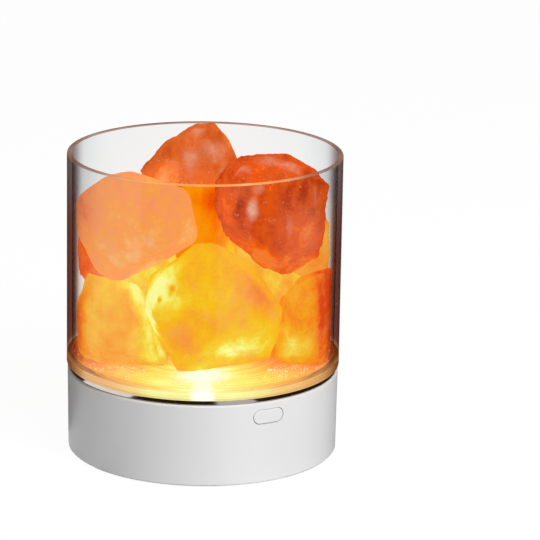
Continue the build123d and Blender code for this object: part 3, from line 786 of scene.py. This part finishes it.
floorSettings = {
    "hotTurn": 241.5,  # degrees round to the LED that shows at the front
    "hotRadius": 28.5,
    "hotCore": 2,
    "hotReach": 13,
    "hotBeam": (0.994, 0.9997),  # the narrow streak out to the edge; 1 is straight along it
    "hotColor": (255, 254, 246),
    "ringPitch": (1100.0, 1900.0, 1.5),  # across the floor, up its edge, and round
    "edgeGap": 0.02,  # lower than the floor by this much is the edge
    # colours by direction: behind and at the sides, up to the front
    "floorGlow": [(0.25, (226, 120, 66)), (0.45, (243, 148, 80)), (0.6, (247, 170, 86)),
                  (0.72, (248, 194, 86)), (0.82, (248, 212, 98)), (0.9, (249, 230, 114)),
                  (0.96, (251, 242, 130)), (1.0, (252, 248, 160))],
    "edgeGlow": [(0.3, (176, 126, 82)), (0.45, (204, 152, 94)), (0.6, (222, 168, 106)),
                 (0.72, (234, 180, 110)), (0.82, (238, 196, 122)), (0.9, (238, 216, 138)),
                 (0.96, (242, 234, 148)), (1.0, (246, 242, 158))],
    # by how far the edge is turned away: painted shade
    "edgeShadeTints": [(0.5, (255, 255, 255)), (0.6, (246, 242, 238)), (0.7, (224, 212, 202)),
                  (0.8, (188, 164, 142)), (1.0, (170, 138, 110))],
    "albedo": 0.15,
    "light": 0.95,
}


def wallMaterial(name, tintsAndShade, s):
    # clear acrylic: see-through face on, brown where it is seen along the wall with painted shade, redder
    # near the lit salt with painted light from it
    material, tree, where = newMaterial(name)
    facing = addNode(tree, "ShaderNodeLayerWeight", {"Blend": 0.5}).outputs["Facing"]
    height = splitAxes(tree, where)["Z"]
    # painted shade by how far the wall is turned away; the lower ramp is redder with painted light from the
    # salt
    low, high = [colorRamp(tree, facing, stops) for stops in tintsAndShade]
    tint = mixColors(tree, spread(tree, height, s["saltHeight"] * mm, rimHeight), low, high)
    foot = spread(tree, height, floorTop, floorTop + s["footHeight"] * mm, s["footShare"], 0.0)
    tint = mixColors(tree, foot, tint, paint(*s["footTint"]))
    clear = addNode(tree, "ShaderNodeBsdfTransparent", {"Color": tint}).outputs[0]
    gloss = addNode(tree, "ShaderNodeBsdfGlossy", {"Color": white, "Roughness": 0.03}).outputs[0]
    mirror = calc(tree, "MULTIPLY_ADD", calc(tree, "POWER", facing, 6.0), s["mirrorGain"], s["mirrorLeast"])
    speck = spread(tree, noise(tree, where, 1500, 1.0), 0.74, 0.8, 0.0, s["dust"])
    patch = spread(tree, noise(tree, where, 60, 2.0), 0.5, 0.62)
    dust = addNode(tree, "ShaderNodeBsdfDiffuse", {"Color": paint(*s["dustColor"])}).outputs[0]
    return surfaced(material, mixShaders(tree, calc(tree, "MULTIPLY", speck, patch),
                                         mixShaders(tree, mirror, clear, gloss), dust))


def rimMaterial(s):
    # the polished top edge glows with painted light piped up from the lamp: brownish all round, a warm
    # painted glow at the front
    material, tree, where = newMaterial("polishedRim")
    ahead = towards(tree, where, lampFront - 90)
    tone = noise(tree, where, 60, 2.0)
    brown = colorRamp(tree, tone, s["brown"])
    warm = colorRamp(tree, tone, s["warm"])
    color = mixColors(tree, spread(tree, ahead, s["warmFrom"], s["warmTo"]), brown, warm)
    return principled(material, {
        "Base Color": tinted(tree, color, grey(s["albedo"])), "Roughness": 0.12, "IOR": 1.49,
        "Emission Color": color, "Emission Strength": s["light"], "Alpha": s["density"]})


def litFloorMaterial(s):
    # the thick floor carries the LEDs' light out to its edge, in rings left by the moulding
    material, tree, where = newMaterial("litFloor")
    height = splitAxes(tree, where)["Z"]
    radius = measure(tree, "LENGTH", vectorCalc(tree, "MULTIPLY", where, (1, 1, 0)))
    ahead = towards(tree, where, s["hotTurn"])
    rings = vectorCalc(tree, "MULTIPLY", joinAxes(tree, radius, height, ahead), s["ringPitch"])
    ring = noise(tree, rings, 1.1, 3.0)
    cloud = noise(tree, where, 60, 3.0)
    warm = calc(tree, "ADD", ahead, spread(tree, ring, 0.35, 0.65, -0.05, 0.05))
    warm = calc(tree, "ADD", warm, spread(tree, cloud, 0.3, 0.7, -0.04, 0.04), clamp=True)
    onEdge = calc(tree, "GREATER_THAN", floorTop - s["edgeGap"] * mm, height)
    color = mixColors(tree, onEdge, colorRamp(tree, warm, s["floorGlow"]),
                      colorRamp(tree, warm, s["edgeGlow"]))
    line = spread(tree, ring, 0.35, 0.65, 0.84, 1.02)
    color = tinted(tree, color, joinAxes(tree, line, line, line))

    # the edge browns with painted shade where it is seen along, but not the underside that shows through it
    facing = addNode(tree, "ShaderNodeLayerWeight", {"Blend": 0.5}).outputs["Facing"]
    normal = addNode(tree, "ShaderNodeNewGeometry").outputs["True Normal"]
    level = calc(tree, "ABSOLUTE", splitAxes(tree, normal)["Z"])
    browned = calc(tree, "MULTIPLY", spread(tree, level, 0.4, 0.7, 1.0, 0.0),
                   spread(tree, ahead, 0.75, 0.97, 1.0, 0.3))
    tint = mixColors(tree, calc(tree, "MULTIPLY", onEdge, browned), white,
                     colorRamp(tree, facing, s["edgeShadeTints"]))
    color = tinted(tree, color, tint)

    spot = outward(s["hotTurn"], s["hotRadius"] * mm) + raised(floorTop)
    far = measure(tree, "DISTANCE", where, spot)
    hot = calc(tree, "MAXIMUM", spread(tree, far, s["hotCore"] * mm, s["hotReach"] * mm, 1.0, 0.0),
               spread(tree, ahead, *s["hotBeam"], 0.0, 0.9))
    color = mixColors(tree, hot, color, paint(*s["hotColor"]))
    return principled(material, {
        "Base Color": tinted(tree, color, grey(s["albedo"])), "Roughness": 0.15, "IOR": 1.49,
        "Emission Color": color, "Emission Strength": s["light"]})


def addCup(s):
    outer = cupRadius / mm
    inner = outer - s["wall"]
    rim, foot, floor, deck = rimHeight / mm, ringTop / mm, floorTop / mm, deckTop / mm
    mesh = bmesh.new()
    turned(mesh, roundOutline([
        (0, foot, 0), (outer, foot, s["footRound"]), (outer, floor, 0), (outer, rim, s["rimRound"]),
        (inner, rim, s["rimRound"]), (inner, floor, s["cornerRound"]), (0, floor, 0)]), s["segments"])
    for angle in s["bossAngles"]:
        radius = s["bossRadius"] * mm
        boss = bmesh.ops.create_cone(mesh, cap_ends=True, segments=s["bossSegments"], radius1=radius,
                                     radius2=radius, depth=(foot - deck) * mm)
        middle = (outward(angle, s["bossCircle"]) + raised((foot + deck) / 2)) * mm
        bmesh.ops.translate(mesh, vec=middle, verts=boss["verts"])
    finishes = [wallMaterial("outerWall", s["outerTintsAndShade"], s), wallMaterial("innerWall", s["innerTintsAndShade"], s),
                rimMaterial(rimSettings), litFloorMaterial(floorSettings)]
    for face in mesh.faces:  # numbered as the finishes are
        middle = face.calc_center_median()
        if middle.z > rimHeight - 0.8 * s["rimRound"] * mm:
            face.material_index = 2
        elif middle.z < floorTop + s["cornerRound"] * mm:
            face.material_index = 3
        elif middle.xy.length < cupRadius - 0.5 * s["wall"] * mm:
            face.material_index = 1
    cup = finishTurned(mesh, "clearCup")
    for material in finishes:
        cup.data.materials.append(material)
    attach(cup, "root")
    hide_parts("cup")


addCup(cupSettings)
print("cup turned")

# The plated ring; lengths in millimetres
ringSettings = {
    "width": 6.2,
    "shadowHeight": 0.1,  # of the groove that keeps the ring off the deck
    "shadowDepth": 0.5,
    "edgeRound": 0.35,
    "edgeSteps": 6,
    "segments": 192,
    "color": (214, 206, 200),
}


def platedMaterial(color):
    material, tree, where = newMaterial("platedMetal")
    brushing = noise(tree, where, 900, 2.0)
    return principled(material, {
        "Base Color": paint(*color), "Metallic": 1.0,
        "Roughness": spread(tree, brushing, 0.3, 0.7, 0.07, 0.14),
        "Normal": bump(tree, brushing, 0.04, 0.05 * mm)})


def addRing(s):
    outer, low, high = ringRadius / mm, deckTop / mm, ringTop / mm
    inner, groove = outer - s["width"], outer - s["shadowDepth"]
    mesh = bmesh.new()
    turned(mesh, roundOutline([
        (inner, low, 0), (groove, low, 0), (groove, low + s["shadowHeight"], 0),
        (outer, low + s["shadowHeight"], s["edgeRound"]), (outer, high, s["edgeRound"]),
        (inner, high, 0)], s["edgeSteps"]), s["segments"])
    ring = finishTurned(mesh, "platedRing")
    ring.data.materials.append(platedMaterial(s["color"]))
    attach(ring, "root")
    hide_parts("trim_ring")


addRing(ringSettings)
print("ring turned")


# The other parts keep their CAD shape and get a finish
def plasticMaterial(name, color, roughness, grainScale=2200.0, grainDepth=0.02 * mm):
    material, tree, where = newMaterial(name)
    cloud = noise(tree, where, 40, 2.0)
    tone = mixColors(tree, spread(tree, cloud, 0.3, 0.7, 0.0, 0.05), paint(*color), darker(color, 0.9))
    return principled(material, {
        "Base Color": tone, "Roughness": spread(tree, cloud, 0.3, 0.7, roughness, roughness + 0.06),
        "Normal": bump(tree, noise(tree, where, grainScale, 2.0), 0.15, grainDepth)})


def metalMaterial(name, color, roughness):
    material, tree, where = newMaterial(name)
    brushing = noise(tree, where, 1200.0, 3.0)
    tarnish = spread(tree, noise(tree, where, 220, 3.0), 0.35, 0.7, 0.0, 0.25)
    return principled(material, {
        "Base Color": mixColors(tree, tarnish, paint(*color), darker(color, 0.75)), "Metallic": 1.0,
        "Roughness": spread(tree, brushing, 0.3, 0.7, roughness, roughness + 0.12),
        "Normal": bump(tree, brushing, 0.1, 0.02 * mm)})


def pittedMaterial(name, color, scale, depth, roughness, metallic=0.0):
    # crinkled foil, foam or rubber: cells with soft edges
    material, tree, where = newMaterial(name)
    pits = cells(tree, where, float(scale))["Distance"]
    tone = mixColors(tree, spread(tree, pits, 0.1, 0.6, 0.0, 0.35), paint(*color), darker(color, 0.7))
    return principled(material, {
        "Base Color": tone, "Metallic": metallic,
        "Roughness": spread(tree, pits, 0.1, 0.6, roughness, roughness + 0.1),
        "Normal": bump(tree, pits, 0.3, depth)})


windowSettings = {
    "lobes": 6.0,  # one over each LED
    "lobeGain": 0.12,
    "colors": [(0.2, (250, 196, 110)), (0.5, (255, 222, 150)), (0.8, (255, 244, 206))],
    "light": 0.7,
}


def frostedMaterial(s):
    # the window lights up in soft patches over the LEDs
    material, tree, where = newMaterial("frostedWindow")
    part = splitAxes(tree, where)
    turn = calc(tree, "ARCTAN2", part["Y"], part["X"])
    lobes = calc(tree, "COSINE", calc(tree, "MULTIPLY", turn, s["lobes"]))
    cloud = spread(tree, noise(tree, where, 90, 3.0), 0.3, 0.7, 0.4, 0.6)
    color = colorRamp(tree, calc(tree, "MULTIPLY_ADD", lobes, s["lobeGain"], cloud), s["colors"])
    return principled(material, {
        "Base Color": color, "Roughness": 0.55, "Emission Color": color, "Emission Strength": s["light"],
        "Normal": bump(tree, noise(tree, where, 2600, 2.0), 0.2, 0.02 * mm)})


ledSettings = {
    "package": (240, 238, 232),
    "phosphor": (255, 206, 92),
    "wellTop": (0.12, 0.08),  # where the phosphor starts and ends, in millimetres under the top
    "wellFoot": (0.3, 0.25),
    "light": 1.5,
}


def ledMaterial(s):
    # white packages with a warm phosphor in the well on top
    material, tree, where = newMaterial("ledPackage")
    height = splitAxes(tree, where)["Z"]
    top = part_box("leds")[1].z
    above, below = [[top - down * mm for down in s[key]] for key in ("wellTop", "wellFoot")]
    well = calc(tree, "MULTIPLY", spread(tree, height, *above, 1.0, 0.0), spread(tree, height, *below))
    color = mixColors(tree, well, paint(*s["package"]), paint(*s["phosphor"]))
    return principled(material, {
        "Base Color": color, "Roughness": spread(tree, noise(tree, where, 1800, 2.0), 0.3, 0.7, 0.3, 0.45),
        "Emission Color": color, "Emission Strength": calc(tree, "MULTIPLY", well, s["light"])})


def setFinish(material, slotName, *nodes):
    for name in nodes:
        node = frame["nodes"][name]
        node.data.materials.clear()
        node.data.materials.append(material)


setFinish(plasticMaterial("whitePlastic", (236, 236, 237), 0.32), "white_plastic", "base_housing",
          "power_button", "base_cover")
setFinish(frostedMaterial(windowSettings), "frosted_window", "light_window")
setFinish(ledMaterial(ledSettings), "led_body", "leds")
setFinish(plasticMaterial("boardMask", (232, 232, 226), 0.3, 700.0, 0.04 * mm), "board_white", "led_board")
setFinish(metalMaterial("platedSteel", (206, 204, 200), 0.18), "plated_steel", "cup_screws", "board_screws",
          "cover_screws", "switch_frame", "usb_shell")
setFinish(plasticMaterial("blackPlastic", (34, 34, 36), 0.38), "black_plastic", "switch_body",
          "switch_plunger", "usb_tongue")
setFinish(plasticMaterial("chipResin", (38, 38, 41), 0.5, 1500.0, 0.04 * mm), "chip_black", "control_chip",
          "charge_chip", "chip_resistors")
setFinish(plasticMaterial("ceramic", (176, 140, 104), 0.42), "ceramic_tan", "chip_capacitors")
setFinish(pittedMaterial("ferrite", (92, 92, 96), 1400, 0.04 * mm, 0.5), "coil_grey", "coil")
setFinish(pittedMaterial("pouchFoil", (186, 188, 192), 160, 0.3 * mm, 0.24, 1.0), "cell_foil",
          "battery_pouch")
setFinish(pittedMaterial("foamTape", (62, 62, 66), 1100, 0.2 * mm, 0.8), "foam_tape", "battery_tape")
setFinish(plasticMaterial("ivoryNylon", (232, 224, 200), 0.4), "connector_ivory", "battery_connector")
setFinish(plasticMaterial("redLead", (196, 34, 30), 0.42), "lead_red", "lead_red")
setFinish(plasticMaterial("blackLead", (30, 30, 32), 0.42), "lead_black", "lead_black")
setFinish(pittedMaterial("footRubber", (58, 58, 61), 900, 0.08 * mm, 0.7), "foot_rubber", "rubber_feet")
print("parts finished")

# Floor, light and surroundings; turns are in degrees to the right of the camera
studio = {
    "ambient": 0.2,
    "lights": {
        "keyLight": {"power": 9.5, "turn": 35, "rise": 38},
        "fillLight": {"power": 0.15, "turn": -60, "rise": 30},
    },
    "lightSize": 0.55,
    "lightDistance": 1.1,
    "aimHeight": 0.05,
    "softBoxes": ((-103, -52, 1.0), (10, 38, 0.6)),  # from, to, level
    "softBoxFade": 2,
    "roomTone": (46, 32, 18),
    "floorRadius": 8,
    "floorTone": 0.82,
    "floorGlow": 1.06,
    "floorGlowShare": 0.9,  # the rest shows the shadow
}


def rayKinds(tree):
    # rays that look at the surroundings, straight or through the cup, and rays that come off shiny pieces
    path = addNode(tree, "ShaderNodeLightPath").outputs
    seen = calc(tree, "MAXIMUM", path["Is Camera Ray"], path["Is Transmission Ray"])
    return seen, calc(tree, "SUBTRACT", path["Is Glossy Ray"], seen, clamp=True)


def softBoxes(tree, direction, s):
    # what shiny pieces mirror: a dark room with a soft box on either side
    faced = addNode(tree, "ShaderNodeVectorRotate", {"Vector": direction, "Angle": math.radians(-lampFront)},
                    rotation_type="Z_AXIS")
    part = splitAxes(tree, faced.outputs[0])
    turn = calc(tree, "ARCTAN2", part["X"], calc(tree, "MULTIPLY", part["Y"], -1.0))
    fade = math.radians(s["softBoxFade"])
    total = 0.0
    for low, high, level in s["softBoxes"]:
        low, high = math.radians(low), math.radians(high)
        rising = spread(tree, turn, low - fade, low + fade)
        falling = spread(tree, turn, high - fade, high + fade, 1.0, 0.0)
        total = calc(tree, "MULTIPLY_ADD", calc(tree, "MULTIPLY", rising, falling), level, total)
    return mixColors(tree, total, paint(*s["roomTone"]), white)


def floorMaterial(s):
    material, tree, where = newMaterial("floor")
    seen, mirrored = rayKinds(tree)
    diffuse = addNode(tree, "ShaderNodeBsdfDiffuse", {"Color": grey(s["floorTone"])}).outputs[0]
    bright = addNode(tree, "ShaderNodeEmission", {"Color": white, "Strength": s["floorGlow"]}).outputs[0]
    room = addNode(tree, "ShaderNodeEmission", {"Color": softBoxes(tree, where, s)}).outputs[0]
    plain = mixShaders(tree, calc(tree, "MULTIPLY", seen, s["floorGlowShare"]), diffuse, bright)
    return surfaced(material, mixShaders(tree, mirrored, plain, room))


def addFloor(s):
    mesh = bmesh.new()
    bmesh.ops.create_circle(mesh, cap_ends=True, segments=96, radius=s["floorRadius"])
    floor = makeObject("floor", meshData(mesh, "floor"))
    floor.data.materials.append(floorMaterial(s))


def addWorld(s):
    world = bpy.data.worlds.new("studio")
    scene.world = world
    world.use_nodes = True
    tree = world.node_tree
    tree.nodes.clear()
    seen, mirrored = rayKinds(tree)
    direction = addNode(tree, "ShaderNodeTexCoord").outputs["Generated"]
    color = mixColors(tree, seen, grey(s["ambient"]), white)
    color = mixColors(tree, mirrored, color, softBoxes(tree, direction, s))
    back = addNode(tree, "ShaderNodeBackground", {"Color": color, "Strength": 1.0})
    addNode(tree, "ShaderNodeOutputWorld", {"Surface": back.outputs[0]})


def addSoftLights(s):
    for name, own in s["lights"].items():
        data = bpy.data.lights.new(name, "AREA")
        data.energy = own["power"]
        data.size = s["lightSize"]
        light = makeObject(name, data)
        light.visible_glossy = False  # shiny pieces mirror the soft boxes instead
        rise = math.radians(own["rise"])
        place = outward(lampFront - 90 + own["turn"], math.cos(rise)) + raised(math.sin(rise))
        light.location = place * s["lightDistance"] + raised(s["aimHeight"])
        light.rotation_euler = place.to_track_quat("Z", "Y").to_euler()


addFloor(studio)
addWorld(studio)
addSoftLights(studio)
scene.view_settings.view_transform = "Standard"
print("studio lit")
